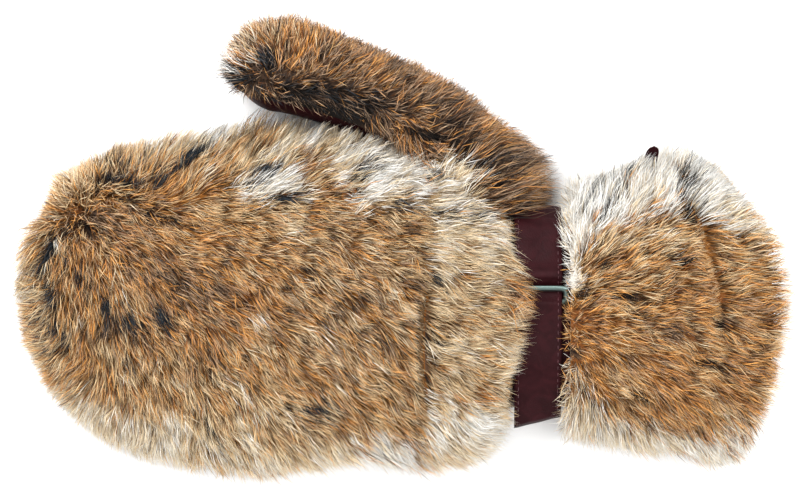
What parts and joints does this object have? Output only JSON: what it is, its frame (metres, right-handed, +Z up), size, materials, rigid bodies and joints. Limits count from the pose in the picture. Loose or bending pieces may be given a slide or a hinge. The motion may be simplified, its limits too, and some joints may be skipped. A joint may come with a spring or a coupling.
{
  "type": "fur mitten",
  "caption": "Left-hand fur mitten lying palm down, with a leather palm, a strap across the wrist and a flared fur cuff.",
  "frame": {"origin": "centre of the bottom of the bounding box, on the surface that the palm lies on", "axes": "+X from the fingertips to the cuff's mouth, +Y towards the thumb side, +Z up out of the back of the hand"},
  "size_m": [0.3429, 0.2056, 0.0673],
  "materials": {
    "burgundy_leather": "satin",
    "hide": "matte",
    "tawny_fur": "matte",
    "pale_fur": "matte",
    "brown_fur": "matte",
    "ring_steel": "polished"
  },
  "bodies": {
    "root": {"palm_leather": "burgundy_leather", "hand_hide": "hide", "finger_fur": "tawny_fur", "heel_fur": "pale_fur", "thumb_leather": "burgundy_leather", "thumb_hide": "hide", "thumb_fur": "brown_fur", "wrist_band": "burgundy_leather", "cuff_leather": "burgundy_leather", "cuff_hide": "hide", "cuff_fur": "pale_fur", "cuff_band_fur": "tawny_fur", "wrist_strap": "burgundy_leather", "strap_ring": "ring_steel"}
  },
  "joints": []
}
